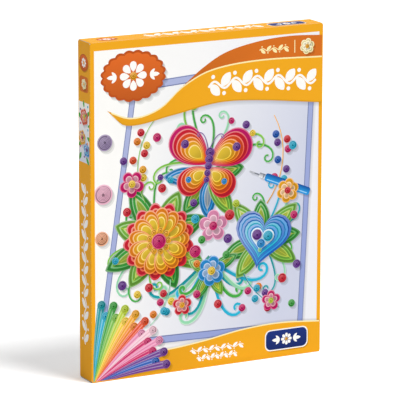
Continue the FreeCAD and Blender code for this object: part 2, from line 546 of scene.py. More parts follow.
def heart(art, u, v, size, tilt):
    """A heart of nested bands, filled with coils."""
    tones = (COBALT, SKY_BLUE, COBALT.lerp(SKY_BLUE, 0.4), CYAN, SKY_BLUE)
    lean = math.radians(tilt)
    outlines = [heart_outline(u, v, lean, size * (1 - 0.115 * k)) for k in range(len(tones))]
    art.shadow(outlines[:1], reach=3.0)
    art.nest(outlines, tones)
    art.piece += 1
    art.lay(heart_outline(u, v, lean, size * 0.42), rounded(ink(220, 238, 250), (u, v), 0.2, 0.15))
    for du, dv, radius, colour in (
        (0.1, 0.07, 0.088, CYAN), (-0.1, 0.07, 0.088, PURPLE),
        (0.0, -0.06, 0.075, SKY_BLUE), (0.0, -0.165, 0.035, MINT),
    ):
        art.coil(*moved(u, v, du * size, dv * size, lean), radius * size, colour)


def blossom(art, u, v, radius, colour, middle, petals=5, start=0.3):
    """A small flower of drop-shaped petals."""
    tones = (colour, colour.lerp(WHITE, 0.35))
    for k in range(petals):
        angle = start + 2 * math.pi * k / petals
        art.petal(u, v, angle, radius, radius * 0.72, tones, shrink=0.35, point=0.5)
    art.coil(u, v, radius * 0.28, middle)


def spray(art, u, v, angle, length, sweep, colour, berries, radius=4.4):
    """A bowed stem with coils beside it."""
    path = curl_path(u, v, math.radians(angle), length, math.radians(sweep), 0.0)
    art.strand(path, colour, 1.5, cast=1.2)
    for k, berry in enumerate(berries):
        place = round((len(path) - 2) * (0.3 + 0.7 * k / len(berries)))
        base, ahead = path[place], path[place + 1]
        way = math.atan2(ahead[1] - base[1], ahead[0] - base[0])
        aside = radius * (1.4 if k % 2 else -1.4)
        art.coil(*moved(*base, 0, aside, way), radius, berry)


def between(lower, upper, start, end, count=36):
    """Outline between two curves, which may touch but don't cross in it."""
    steps = [start + (end - start) * k / count for k in range(count + 1)]
    return [(u, lower(u)) for u in steps] + [(u, max(upper(u), lower(u) + 0.02)) for u in reversed(steps)]


def vine(art, start, end, count, size, colour, place):
    """A running vine: a waved stem with a leaf in each bend. Place gives a point on the
    print from a length along the vine and a height across it."""
    step = (end - start) / count
    samples = count * 6
    path = []
    for k in range(samples + 1):
        along = start + (end - start) * k / samples
        path.append(place(along, size * 0.2 * math.sin(math.pi * (along - start) / step)))
    art.lay(art.strand_outline(path, lambda share: size * 0.11), flat(colour))
    for k in range(count):
        side = 1 if k % 2 else -1
        foot = place(start + step * (k + 0.2), -side * size * 0.1)
        tip = place(start + step * (k + 1.0), side * size * 0.5)
        way = math.atan2(tip[1] - foot[1], tip[0] - foot[0])
        art.lay(leaf_outline(*foot, way, math.dist(foot, tip), size * 0.46), flat(colour))
        art.lay(circle(*place(start + step * (k + 0.42), -side * size * 0.44), size * 0.1), flat(colour))


def badge(art, shape, u, v, width, height, ground, rim):
    """A badge with a rim, a rosette and, where there is room, a sprig on each side. Shape
    makes its outline from its middle, width and height."""
    art.shadow([shape(u, v, width, height)], reach=height * 0.07, depth=0.16)
    art.lay(shape(u, v, width, height), flat(rim))
    inner = shape(u, v, width - height * 0.1, height * 0.9)
    art.lay(inner, fade(ground * 0.85, ground * 1.3, (u, v - height / 2), (u, v + height / 2)))
    radius = height * 0.27
    for k in range(8):
        angle = math.pi / 2 + 2 * math.pi * k / 8
        foot = moved(u, v, radius * 0.3, 0, angle)
        art.lay(teardrop(*foot, angle, radius * 0.75, radius * 0.5, 0.7), flat(WHITE))
    art.coil(u, v, radius * 0.28, AMBER, cast=False)
    room = width / 2 - height * 0.14 - radius * 1.3
    if room < height * 0.2:
        return
    for way in (0.0, math.pi):
        foot = moved(u, v, radius * 1.3, 0, way)
        for spread, share in ((0.8, 0.72), (-0.8, 0.72), (0.0, 1.0)):
            length = min(room, height * 0.4) * share
            art.lay(leaf_outline(*foot, way + spread, length, length * 0.42), flat(WHITE))


def orange_badge(art, colours, u, v, width, height):
    """The scalloped badge."""
    badge(art, scalloped, u, v, width, height, Vector(colours.scallop), Vector(colours.scallop_rim))


def navy_badge(art, colours, u, v, width, height):
    """The square-cut badge with a white rim."""
    badge(art, square_cut, u, v, width, height, Vector(colours.plaque), WHITE)


def strip_fan(art, u, v):
    """Bright paper strips that fan out from a corner and end in a coil each."""
    tones = (
        TEAL, CYAN, LEAF_GREEN, GRASS, LIME, YELLOW, AMBER, ORANGE, RED_ORANGE,
        PINK, ROSE, MAGENTA, PINK, MAGENTA, PURPLE, COBALT, PURPLE,
    )
    for k, colour in enumerate(tones):
        way = 84 - 76 * k / (len(tones) - 1)
        length = 76 if k % 2 else 88
        path = curl_path(u, v, math.radians(way + 5), length, math.radians(-10), 0.0)

        def widths(share):
            return 1.0 + 8.2 * share

        strip = art.strand_outline(path, widths)
        art.shadow([strip], reach=2.0, depth=0.13, steps=2)
        art.lay(strip, fade(colour * 0.94, colour.lerp(WHITE, 0.06), path[0], path[-1]))
        for line in range(4):
            inner = -0.72 + 0.42 * line
            tone = colour.lerp(WHITE, 0.4) if line % 2 else colour * 0.76
            art.lay(art.strand_outline(path, widths, inner, inner + 0.14), flat(tone))
        art.coil(path[-1][0], path[-1][1], 5.0, colour)


def slotted_tool(art, u, v, angle):
    """A slotted quilling needle in a round blue handle, pointing along angle."""
    way = math.radians(angle)

    def at(along, across=0.0):
        return moved(u, v, along, across, way)

    handle = rounded_box(*at(-30), way, 60, 9.0, 2.6)
    ferrule = rounded_box(*at(3.5), way, 9, 5.2, 0.8)
    needle = rounded_box(*at(13.5), way, 15, 1.5, 0.4)
    art.shadow([handle, ferrule, needle], reach=3.6, depth=0.1, steps=4)
    art.lay(needle, flat(ink(120, 124, 134)))
    art.lay(rounded_box(*at(17.5), way, 7, 0.45, 0.1), flat(ink(236, 238, 242)))
    art.lay(ferrule, fade(ink(96, 102, 118), ink(240, 242, 246), at(0, -3.0), at(0, 2.0)))
    art.lay(rounded_box(*at(2.2), way, 0.9, 5.0, 0.2), flat(ink(84, 90, 104)))
    art.lay(handle, fade(COBALT * 0.62, SKY_BLUE, at(0, -4.5), at(0, 1.2)))
    art.lay(rounded_box(*at(-30, 2.2), way, 54, 1.1, 0.5), flat(ink(160, 214, 246)))


floor_band = smooth_curve([(-141, 30), (-56, 27), (-7, 31), (42, 38), (90, 40), (141, 36)])


def tilted_frame(art, lilac):
    """The tilted frame of the picture and the pale ground inside it."""
    corners = ((-134.0, 36.0), (118.0, 30.0), (132.0, 336.0), (-92.0, 322.0))
    middle = (6.0, 180.0)
    for inset, paint in (
        (0.0, flat(lilac * 0.7)),
        (0.008, fade(lilac.lerp(WHITE, 0.25), lilac, (-120, 345), (120, 50))),
        (0.05, flat(lilac * 0.6)),
        (0.058, fade(WHITE, ink(208, 212, 230), (-110, 250), (120, 190))),
    ):
        outline = [tuple(c + (m - c) * inset for c, m in zip(corner, middle)) for corner in corners]
        if inset == 0.0:
            art.shadow([outline], reach=4.0, depth=0.08)
        art.lay(outline, paint)


def lower_band(art, orange):
    """The wavy band along the bottom, with the paper strips in its corner."""
    band = between(lambda u: 0.0, floor_band, -HALF_WIDTH, HALF_WIDTH)
    art.shadow([[(u, v + 3.4) for u, v in band]], reach=2.4, depth=0.08)
    art.lay(band, fade(orange * 0.9, orange, (-46, 10), (30, 24)))
    art.lay(between(lambda u: floor_band(u) - 1.5, floor_band, -120, HALF_WIDTH), flat(CREAM))
    strip_fan(art, -HALF_WIDTH + 3, -2)


def title_bands(art, orange, deep):
    """The ribbon at the top and the deeper band behind it, each with its vine."""
    ribbon_low = smooth_curve([(-121, 296), (-99, 278), (-45, 284), (10, 293), (55, 292), (141, 282)])
    ribbon_high = smooth_curve(
        [(-121, 296), (-92, 286), (-58, 294), (-31, 315), (3, 330), (60, 336), (141, 334)]
    )
    deep_high = smooth_curve([(-36, 311), (-8, 332), (20, 347), (60, 356), (100, 359), (141, 357)])
    ribbon = between(ribbon_low, ribbon_high, -121, HALF_WIDTH)
    art.shadow([ribbon], reach=5.0, depth=0.08, steps=4)
    art.lay(between(ribbon_high, deep_high, -36, HALF_WIDTH), fade(deep * 0.8, deep, (-40, 320), (50, 335)))
    art.lay(ribbon, fade(orange * 0.9, orange, (-121, 280), (-20, 310)))
    art.lay(between(lambda u: ribbon_high(u) - 1.6, ribbon_high, -116, HALF_WIDTH), flat(CREAM))
    art.lay(between(ribbon_low, lambda u: ribbon_low(u) + 1.5, -110, HALF_WIDTH), flat(orange * 0.8))

    def on_ribbon(u, height):
        return (u, (ribbon_low(u) + ribbon_high(u)) / 2 + height)

    vine(art, 0.0, 132.0, 10, 23.0, WHITE, on_ribbon)
    vine(art, 62.0, 98.0, 5, 8.0, CREAM, lambda u, height: (u, 346.0 + height))
    art.lay(rectangle(105, 340, 106, 354), flat(CREAM))
    blossom(art, 121, 346, 9, CREAM, AMBER, petals=6)


def front_print(colours):
    """The front: border, picture in a frame, bands and badges."""
    reach = HALF_WIDTH - CREASE_GAP
    orange = Vector(colours.border)
    art = Print((-reach, CREASE_GAP, reach, HEIGHT - 0.7), orange)
    edge = HALF_WIDTH - colours.border_width
    page = rectangle(-edge, 4.0, edge, HEIGHT - colours.top_border)
    art.lay(page, fade(WHITE, ink(240, 240, 246), (-edge, 200), (edge, 160)))
    for u, v, radius, colour in ((-124, 262, 9, PURPLE), (-126, 206, 11, PINK), (-128, 158, 8, ORANGE)):
        art.coil(u, v, radius, colour.lerp(WHITE, 0.25))
    tilted_frame(art, Vector(colours.frame))
    picture(art)
    lower_band(art, orange)
    title_bands(art, orange, Vector(colours.deep_band))
    orange_badge(art, colours, -90, 331, 78, 56)
    for level, start, end in ((20.5, -22.0, 44.0), (11.5, -14.0, 36.0)):
        vine(art, start, end, 9, 7.0, WHITE, lambda u, height: (u, level + height))
    navy_badge(art, colours, 98, 20, 54, 24)
    for left, right in ((-HALF_WIDTH, -edge), (edge, HALF_WIDTH)):
        art.lay(rectangle(left, 96, right, 270), flat(orange))
    return art


def fountain(art, u, v, start, end, count, length, tones, width):
    """Strands that spread from one place, bow and curl up at their ends."""
    for k in range(count):
        share = k / (count - 1)
        side = 1 if share > 0.5 else -1
        way = start + (end - start) * share
        reach = length * (0.82 + 0.18 * math.cos(5.1 * k))
        sweep = side * (22 + 16 * math.sin(2.7 * k))
        art.curl(u, v, way, reach, sweep, side * 1.1, tones[k % len(tones)], width)


def leaves(art, u, v, ways, length, tones):
    """Leaves that spread from one place."""
    for k, way in enumerate(ways):
        reach = length * (1 + 0.12 * math.sin(3.7 * k))
        art.leaf(u, v, math.radians(way), reach, length * 0.42, tones[k % len(tones)])


def picture(art):
    """The quilled picture inside the frame: a butterfly over a sunflower and a heart."""
    greens = (LEAF_GREEN, GRASS, MINT)
    water = (TEAL, MINT, CYAN, LEAF_GREEN)
    fountain(art, 2, 124, -136, -44, 11, 112, water, 5.0)
    fountain(art, -62, 150, 100, 250, 8, 104, greens, 3.0)
    fountain(art, 66, 140, -62, 78, 8, 92, water, 3.0)
    fountain(art, 0, 230, 20, 70, 4, 112, greens, 3.2)
    fountain(art, 0, 230, 116, 176, 5, 112, greens, 3.2)
    leaves(art, -62, 150, (18, 62, 118, 158, 204, 236, 292, 328), 62, (LEAF_GREEN, GRASS))
    leaves(art, 66, 136, (-34, 4, 40, 92, 128, 196, 232), 52, (GRASS, LEAF_GREEN))
    leaves(art, 0, 214, (-128, -92, -58, 8, 176), 50, (LEAF_GREEN, SKY_BLUE, GRASS))
    leaves(art, 2, 108, (-118, -62, 24, 150), 34, (LEAF_GREEN, GRASS))
    warm = (YELLOW, ORANGE, AMBER, RED_ORANGE, CRIMSON, ORANGE, YELLOW, CRIMSON)
    cool = (CYAN, MAGENTA, PURPLE, COBALT, MAGENTA, PURPLE, CRIMSON, COBALT)
    spray(art, -76, 192, 118, 96, -70, GRASS, warm)
    spray(art, 72, 176, 50, 104, 70, AMBER, cool)
    spray(art, 44, 100, -64, 62, 40, TEAL, (MAGENTA, ORANGE, CYAN, PURPLE, CRIMSON))
    spray(art, -46, 104, -92, 56, -50, MINT, (CRIMSON, YELLOW, MAGENTA, CYAN, ORANGE))
    sunflower(art, -60, 148, 43)
    heart(art, 66, 136, 70, -12)
    butterfly(art, 0, 226, 58, tilt=-8)
    slotted_tool(art, 70, 206, 158)
    blossom(art, 6, 158, 18, PINK, MAGENTA)
    blossom(art, 4, 108, 17, SKY_BLUE, YELLOW, petals=6)
    blossom(art, -92, 214, 15, MAGENTA, YELLOW, start=0.9)
    blossom(art, 98, 188, 14, AMBER, CRIMSON, petals=6)
    blossom(art, -32, 74, 12, CRIMSON, AMBER)
    blossom(art, 78, 66, 12, MAGENTA, LIME)
    for u, v, radius, colour in (
        (-16, 132, 7, MAGENTA), (-8, 144, 4.6, LEAF_GREEN), (-14, 118, 4.2, ORANGE), (24, 142, 5.4, PURPLE),
        (22, 124, 4.6, LEAF_GREEN), (26, 168, 6, CRIMSON), (-16, 168, 5, CYAN), (-18, 186, 4.4, PURPLE),
        (-104, 104, 5.4, PURPLE), (-112, 132, 4, CYAN), (-98, 184, 5, CRIMSON), (-102, 240, 4.4, PURPLE),
        (-56, 206, 5, CRIMSON), (-46, 214, 4, CYAN), (-58, 218, 3.6, PURPLE), (-62, 262, 5, MAGENTA),
        (46, 266, 4.6, PURPLE), (28, 272, 3.8, MAGENTA), (54, 256, 3.8, YELLOW), (104, 238, 5, CYAN),
        (106, 160, 4.6, MAGENTA), (110, 104, 5, PURPLE), (92, 90, 5.4, CRIMSON), (60, 82, 4.4, CYAN),
        (42, 62, 4.4, MAGENTA), (-14, 84, 4.6, MAGENTA), (12, 70, 5, CRIMSON), (-54, 70, 4.6, CYAN),
        (104, 60, 4.4, LEAF_GREEN), (-86, 92, 4.4, YELLOW), (-72, 98, 5, CRIMSON), (34, 180, 4.4, LIME),
    ):
        art.coil(u, v, radius, colour)


def side_print(colours):
    """The left side: a small badge, a patch, a small picture and a running vine."""
    art = Print((-HALF_DEPTH + CREASE_GAP, 4.0, HALF_DEPTH - 2.2, HEIGHT - 4.0), Vector(colours.border))
    orange_badge(art, colours, 0, 347, 22, 19)
    art.lay(rounded_box(0, 324, 0, 21, 17, 4), flat(Vector(colours.deep_band)))
    blossom(art, 0, 324, 6, CREAM, AMBER, petals=6)
    art.lay(rounded_box(0, 272, 0, 34, 65, 1), fade(WHITE, ink(222, 226, 238), (-8, 290), (8, 250)))
    for u, v, size, way in (
        (-5, 286, 11, 150), (6, 290, 10, 40), (-4, 262, 11, 210), (7, 268, 10, -20),
        (-7, 250, 10, 240), (5, 246, 10, -50), (0, 299, 8, 100), (9, 280, 8, 10),
    ):
        art.lay(leaf_outline(u, v, math.radians(way), size, size * 0.45), flat(LEAF_GREEN))
    blossom(art, 0, 289, 9.5, RED_ORANGE, YELLOW, petals=6)
    blossom(art, -5, 266, 8.5, AMBER, MAGENTA, petals=6)
    blossom(art, 6, 254, 8, SKY_BLUE, PURPLE)
    for k in range(12):
        tone = (PURPLE, CYAN, MAGENTA, ORANGE, LEAF_GREEN)[k % 5]
        art.lay(circle(9.5 * math.sin(2.4 * k), 246 + 5 * k, 1.4), flat(tone))
    vine(art, 40.0, 216.0, 14, 15.0, WHITE, lambda along, height: (-height, along))
    return art


def top_print(colours):
    """The tuck flap's panel: a small badge, a running vine and a navy badge."""
    reach = HALF_WIDTH - 3.0
    art = Print((-reach, -HALF_DEPTH + 4.0, reach, HALF_DEPTH - 2.0), Vector(colours.border))
    orange_badge(art, colours, -114, 0, 24, 17)
    vine(art, -70.0, 72.0, 13, 14.0, WHITE, lambda along, height: (along, 0.6 + height))
    navy_badge(art, colours, 103, 0, 44, 17)
    return art


def back_print(colours):
    """The back: a plain page inside the border, over a plain band."""
    reach = HALF_WIDTH - CREASE_GAP
    art = Print((-reach, 4.0, reach, HEIGHT - 2.0), Vector(colours.border))
    edge = HALF_WIDTH - colours.border_width
    top = HEIGHT - colours.top_border

    def band(u):
        return floor_band(-u)

    art.lay(between(band, lambda u: top, -edge, edge), fade(WHITE, ink(246, 246, 249), (0, top), (0, 30)))
    art.lay(between(lambda u: band(u) - 1.5, band, -HALF_WIDTH, HALF_WIDTH), flat(CREAM))
    return art


def rim_of(panel):
    """The edges at the rim of a flat panel, and the panel's corners in order round it."""
    rim = [
        edge for face in panel for edge in face.edges
        if sum(other in panel for other in edge.link_faces) == 1
    ]
    first = min(rim, key=lambda edge: tuple(edge.verts[0].co) + tuple(edge.verts[1].co))
    loop = [first.verts[0], first.verts[1]]
    ways = {}
    for edge in rim:
        for vert in edge.verts:
            ways.setdefault(vert, []).append(edge)
    while True:
        here, before = loop[-1], loop[-2]
        ahead = [edge.other_vert(here) for edge in ways[here]]
        following = next(vert for vert in ahead if vert is not before)
        if following is loop[0]:
            return rim, loop
        loop.append(following)


def look_of(cover, fields):
    """What a patch shows: the number of the uppermost field that covers it, and the
    shadows over that field. Number 0 is the panel itself."""
    base, shades = 0, {}
    for index in sorted(cover):
        if index == 0:
            continue
        _, paint, share, piece = fields[index - 1]
        if paint is None:
            shades[piece] = share
        else:
            base, shades = index, {}
    return base, tuple(sorted(shades.items()))


def print_on(shell, panel, art, right, up):
    """Cuts a flat panel of the board along the fields of its print and inks each one.
    Right and up are the panel's own axes, seen from outside."""
    rim, loop = rim_of(panel)

    def on_panel(point):
        return (point.dot(right) / MM, point.dot(up) / MM)

    flat_loop = [on_panel(vert.co) for vert in loop]
    if signed_area(flat_loop) < 0:
        loop.reverse()
        flat_loop.reverse()
    level = loop[0].co - right * loop[0].co.dot(right) - up * loop[0].co.dot(up)
    points = [Vector(point) for point in flat_loop]
    outlines = [list(range(len(points)))]
    for outline, _, _, _ in art.fields:
        outlines.append(list(range(len(points), len(points) + len(outline))))
        points.extend(Vector(point) for point in outline)
    inside_only, merged_within, with_sources = 1, 1e-4, True
    places, _, triangles, sources, _, covers = delaunay_2d_cdt(
        points, [], outlines, inside_only, merged_within, with_sources,
    )

    material_index = panel[0].material_index
    bmesh.ops.delete(shell, geom=panel, context="FACES_ONLY")
    loose = dict.fromkeys(edge for vert in loop for edge in vert.link_edges if not edge.link_faces)
    bmesh.ops.delete(shell, geom=list(loose), context="EDGES")
    verts = []
    for place, made_from in zip(places, sources):
        on_rim = [index for index in made_from if index < len(loop)]
        if on_rim:
            verts.append(loop[on_rim[0]])
        else:
            verts.append(shell.verts.new(level + right * (place[0] * MM) + up * (place[1] * MM)))
    look_layer = shell.faces.layers.int.get("look") or shell.faces.layers.int.new("look")
    looks = {None: 0}
    edges = {}
    for triangle, cover in zip(triangles, covers):
        if 0 not in cover:
            continue
        face = shell.faces.new([verts[index] for index in triangle])
        face.material_index = material_index
        face[look_layer] = looks.setdefault(look_of(cover, art.fields), len(looks))
        face.normal_update()
        edges.update(dict.fromkeys(face.edges))

    # Only lines where the look changes stay, so that what is printed over costs nothing
    on_loop = set(loop)
    for edge in edges:
        edge.seam = edge in rim or edge.link_faces[0][look_layer] != edge.link_faces[1][look_layer]
    inside = dict.fromkeys(vert for edge in edges for vert in edge.verts if vert not in on_loop)
    bmesh.ops.dissolve_limit(
        shell, angle_limit=1e-3, delimit={"SEAM"},
        verts=list(inside), edges=[edge for edge in edges if not edge.seam],
    )
    for edge in shell.edges:
        edge.seam = False
    ink_looks(shell, art, list(looks), on_panel)


def ink_looks(shell, art, looks, on_panel):
    """Inks each printed face after its look, and clears the look. On_panel turns a place
    into one on the print."""
    look_layer = shell.faces.layers.int["look"]
    ink_layer = shell.loops.layers.float_color["ink"]
    printed = [face for face in shell.faces if face[look_layer]]
    for face in bmesh.ops.triangulate(shell, faces=printed)["faces"]:
        base, shades = looks[face[look_layer]]
        paint = art.fields[base - 1][1] if base else flat(art.ground)
        factor = math.prod(share for _, share in shades)
        for corner in face.loops:
            colour = paint(*on_panel(corner.vert.co)) * factor
            corner[ink_layer] = (colour[0], colour[1], colour[2], 1.0)
        face[look_layer] = 0


# Surface finishes


def socketed_group(name, inputs, outputs):
    """An empty node group with named sockets, and its input and output nodes."""
    group = bpy.data.node_groups.new(name, "ShaderNodeTree")
    for label, kind, default in inputs:
        socket = group.interface.new_socket(label, in_out="INPUT", socket_type=kind)
        socket.default_value = default
    for label, kind in outputs:
        group.interface.new_socket(label, in_out="OUTPUT", socket_type=kind)
    return group, group.nodes.new("NodeGroupInput"), group.nodes.new("NodeGroupOutput")


def feed(tree, node, inputs):
    """Gives a node its inputs, each a value or another node's output."""
    for label, value in inputs.items():
        if isinstance(value, bpy.types.NodeSocket):
            tree.links.new(value, node.inputs[label])
        else:
            node.inputs[label].default_value = value


def new_node(tree, kind, inputs, **settings):
    """A new node with its settings and inputs."""
    node = tree.nodes.new("ShaderNode" + kind)
    for name, value in settings.items():
        setattr(node, name, value)
    feed(tree, node, inputs)
    return node


def noise_node(tree, vector, scale, detail, stretch=(1.0, 1.0, 1.0)):
    """Noise over the object's own coordinates, stretched along its axes."""
    mapping = new_node(tree, "Mapping", {"Vector": vector, "Scale": stretch})
    inputs = {"Vector": mapping.outputs["Vector"], "Scale": scale, "Detail": detail}
    return new_node(tree, "TexNoise", inputs).outputs["Fac"]


def math_node(tree, operation, *values):
    """A Math node."""
    return new_node(tree, "Math", dict(enumerate(values)), operation=operation).outputs[0]


def span_node(tree, value, low, high, new_low, new_high):
    """A Map Range node."""
    inputs = {"Value": value, "From Min": low, "From Max": high, "To Min": new_low, "To Max": new_high}
    return new_node(tree, "MapRange", inputs).outputs["Result"]


def mix_node(tree, factor, first, second, blend="MIX"):
    """A colour Mix node."""
    inputs = {0: factor, 6: first, 7: second}
    return new_node(tree, "Mix", inputs, data_type="RGBA", blend_type=blend).outputs[2]


def fibre_group():
    """Paper fibre: a tone that mottles a colour, and a height for the bump."""
    group, entry, leave = socketed_group(
        "Paper fibre",
        [("Vector", "NodeSocketVector", (0, 0, 0)), ("Strength", "NodeSocketFloat", 0.5)],
        [("Tone", "NodeSocketFloat"), ("Height", "NodeSocketFloat")],
    )
    vector = entry.outputs["Vector"]
    long_fibre = noise_node(group, vector, 900.0, 4.0, (1.0, 1.0, 0.25))
    cross_fibre = noise_node(group, vector, 700.0, 3.0, (0.3, 1.0, 1.0))
    cloud = noise_node(group, vector, 45.0, 3.0)
    fibre = math_node(group, "MULTIPLY_ADD", long_fibre, 0.6, math_node(group, "MULTIPLY", cross_fibre, 0.4))
    tone = math_node(group, "MULTIPLY_ADD", cloud, 0.5, math_node(group, "MULTIPLY", fibre, 0.5))
    centred = math_node(group, "SUBTRACT", tone, 0.5)
    strength = entry.outputs["Strength"]
    feed(group, leave, {
        "Tone": math_node(group, "MULTIPLY", centred, strength),
        "Height": math_node(group, "MULTIPLY", fibre, strength),
    })
    return group


def crease_wear_and_highlight_group():
    """Mask of the upright corners of the box, where the ink cracks on the crease: wear, and a painted
    highlight.
    """
    group, entry, leave = socketed_group(
        "Crease ink cracks and painted highlight",
        [("Vector", "NodeSocketVector", (0, 0, 0)), ("Amount", "NodeSocketFloat", 0.3)],
        [("Mask", "NodeSocketFloat")],
    )
    vector = entry.outputs["Vector"]
    split = new_node(group, "SeparateXYZ", {"Vector": vector})
    in_x = math_node(group, "SUBTRACT", math_node(group, "ABSOLUTE", split.outputs["X"]), HALF_WIDTH * MM)
    in_y = math_node(group, "SUBTRACT", math_node(group, "ABSOLUTE", split.outputs["Y"]), HALF_DEPTH * MM)
    reach = math_node(
        group, "SQRT",
        math_node(group, "ADD", math_node(group, "POWER", in_x, 2.0), math_node(group, "POWER", in_y, 2.0)),
    )
    near = span_node(group, reach, 0.3 * MM, 0.8 * MM, 1.0, 0.0)
    ragged = span_node(group, noise_node(group, vector, 900.0, 6.0), 0.54, 0.64, 0.0, 1.0)
    mask = math_node(group, "MULTIPLY", math_node(group, "MULTIPLY", near, ragged), entry.outputs["Amount"])
    feed(group, leave, {"Mask": mask})
    return group


def board_material(name, groups, mottle, rough, bump, base=None):
    """Board with paper fibre. With no base colour it takes its ink from the print."""
    sizes = bpy.context.scene.ck_board
    material = bpy.data.materials.new(name)
    material.use_nodes = True
    tree = material.node_tree
    place = tree.nodes.new("ShaderNodeTexCoord").outputs["Object"]
    fibre = new_node(tree, "Group", {}, node_tree=groups["fibre"])
    feed(tree, fibre, {"Vector": place, "Strength": sizes.fibre})
    if base is None:
        attribute = new_node(tree, "VertexColor", {}, layer_name="ink")
        wear_and_highlight = new_node(tree, "Group", {}, node_tree=groups["crease"])
        feed(tree, wear_and_highlight, {"Vector": place, "Amount": sizes.wear_and_highlight})
        # Pale bare board along the upright creases: cracked ink, and a painted highlight where the creases
        # catch light
        bare = (0.86, 0.83, 0.76, 1.0)
        colour = mix_node(tree, wear_and_highlight.outputs["Mask"], attribute.outputs["Color"], bare)
    else:
        specks = span_node(tree, noise_node(tree, place, 420.0, 2.0), 0.62, 0.72, 0.0, 0.35)
        colour = mix_node(tree, specks, (*base, 1.0), (*(base * 0.55), 1.0))
    tone = math_node(tree, "MULTIPLY_ADD", fibre.outputs["Tone"], mottle, 1.0)
    shade = new_node(tree, "CombineColor", {0: tone, 1: tone, 2: tone})
    height = fibre.outputs["Height"]
    grain = new_node(tree, "Bump", {"Strength": bump, "Distance": 0.05 * MM, "Height": height})
    feed(tree, tree.nodes["Principled BSDF"], {
        "Base Color": mix_node(tree, 1.0, colour, shade.outputs["Color"], "MULTIPLY"),
        "Roughness": span_node(tree, height, 0.1, 0.4, *rough),
        "Specular IOR Level": 0.06,
        "Normal": grain.outputs["Normal"],
    })
    return material


def finishes():
    """The three finishes of the board, made once."""
    looks = {
        "Printed board": {"mottle": 0.12, "rough": (0.42, 0.54), "bump": 0.12},
        "Bare inside of board": {
            "mottle": 0.35, "rough": (0.8, 0.95), "bump": 0.5, "base": ink(205, 199, 186),
        },
        "Cut edge of board": {
            "mottle": 0.5, "rough": (0.85, 0.97), "bump": 0.8, "base": ink(222, 216, 203),
        },
    }
    found = [bpy.data.materials.get(name) for name in looks]
    if all(found):
        return found
    groups = {"fibre": fibre_group(), "crease": crease_wear_and_highlight_group()}
    return [board_material(name, groups, **look) for name, look in looks.items()]


PRINTED, INSIDE, EDGE = range(3)
NEAR = 0.02 * MM


def board_shell(node, name):
    """A welded copy of a solid's mesh in the border's ink, ready for its finishes: the
    piece and its shell."""
    source = frame["nodes"][node]
    mesh = source.data.copy()
    mesh.name = name
    mesh.materials.clear()
    for material in finishes():
        mesh.materials.append(material)
    piece = bpy.data.objects.new(name, mesh)
    bpy.context.scene.collection.objects.link(piece)
    shell = bmesh.new()
    shell.from_mesh(mesh)
    bmesh.ops.remove_doubles(shell, verts=shell.verts, dist=1e-6)
    for layer in list(shell.loops.layers.uv.values()):
        shell.loops.layers.uv.remove(layer)
    ink_layer = shell.loops.layers.float_color.new("ink")
    border = bpy.context.scene.ck_print.border
    for face in shell.faces:
        for corner in face.loops:
            corner[ink_layer] = (*border, 1.0)
    return piece, shell


def finish_shell(piece, shell, node, body):
    """Writes the shell back, shades its bends smooth and gives it its body."""
    shell.normal_update()
    shell.to_mesh(piece.data)
    shell.free()
    bpy.ops.object.select_all(action="DESELECT")
    piece.select_set(True)
    bpy.context.view_layer.objects.active = piece
    bpy.ops.mesh.customdata_custom_splitnormals_clear()
    bpy.ops.object.shade_smooth_by_angle(angle=bpy.context.scene.ck_board.smooth_angle)
    for polygon in piece.data.polygons:
        if max(abs(part) for part in polygon.normal) > 0.9999:
            polygon.use_smooth = False
    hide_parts(node)
    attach(piece, body)


def carton_finish(face):
    """Which finish a face of the carton has: ink outside, bare board inside, or cut edge."""
    x, y, z = face.calc_center_median() / MM
    normal = face.normal
    skin = BOARD * 0.6
    tilt = 0.2
    if HALF_WIDTH - abs(x) < skin and normal.x * math.copysign(1, x) > tilt:
        return PRINTED
    if HALF_DEPTH - abs(y) < skin and normal.y * math.copysign(1, y) > tilt:
        return PRINTED
    if z < skin and normal.z < -tilt:
        return PRINTED
    square = max(abs(part) for part in normal) > 0.999
    if square and min(edge.calc_length() for edge in face.edges) < BOARD * 1.05 * MM:
        return EDGE
    if HEIGHT - z < 2 * BOARD and normal.z > tilt:
        return PRINTED
    return INSIDE


def stop_ink(shell, panel, toward):
    """Leaves a flap that folds in white past the bleed at its crease. Toward points from
    the flap to its crease."""
    bleed = bpy.context.scene.ck_board.bleed * MM
    limit = max(vert.co.dot(toward) for face in panel for vert in face.verts) - bleed
    parts = dict.fromkeys(part for face in panel for part in (face, *face.edges, *face.verts))
    cut = bmesh.ops.bisect_plane(
        shell, geom=list(parts), dist=1e-7, plane_co=toward * limit, plane_no=toward,
    )
    ink_layer = shell.loops.layers.float_color["ink"]
    for part in cut["geom"]:
        if isinstance(part, bmesh.types.BMFace) and part.calc_center_median().dot(toward) < limit:
            for corner in part.loops:
                corner[ink_layer] = (*(WHITE * 0.9), 1.0)


def flat_panel(shell, direction, level):
    """The faces of a shell that look one way at one level, in mm."""
    return [
        face for face in shell.faces
        if face.normal.dot(direction) > 0.999
        and abs(face.calc_center_median().dot(direction) - level * MM) < NEAR
    ]


class CK_OT_carton(bpy.types.Operator):
    """Dress the glued sheet of the carton with its print and its bare board"""

    bl_idname = "ck.carton"
    bl_label = "Carton"

    def execute(self, context):
        colours = context.scene.ck_print
        piece, shell = board_shell("carton", "printed_carton")
        for face in shell.faces:
            face.material_index = carton_finish(face)
        right, up, back = Vector((1, 0, 0)), Vector((0, 0, 1)), Vector((0, 1, 0))
        for side in (-1, 1):
            dust_flap = [
                face for face in shell.faces
                if face.material_index == PRINTED and face.normal.z > 0.99
                and face.calc_center_median().x * side > 0
            ]
            stop_ink(shell, dust_flap, right * side)
        print_on(shell, flat_panel(shell, -back, HALF_DEPTH), front_print(colours), right, up)
        print_on(shell, flat_panel(shell, -right, HALF_WIDTH), side_print(colours), -back, up)
        print_on(shell, flat_panel(shell, back, HALF_DEPTH), back_print(colours), -right, up)
        finish_shell(piece, shell, "carton", "box")
        return {"FINISHED"}


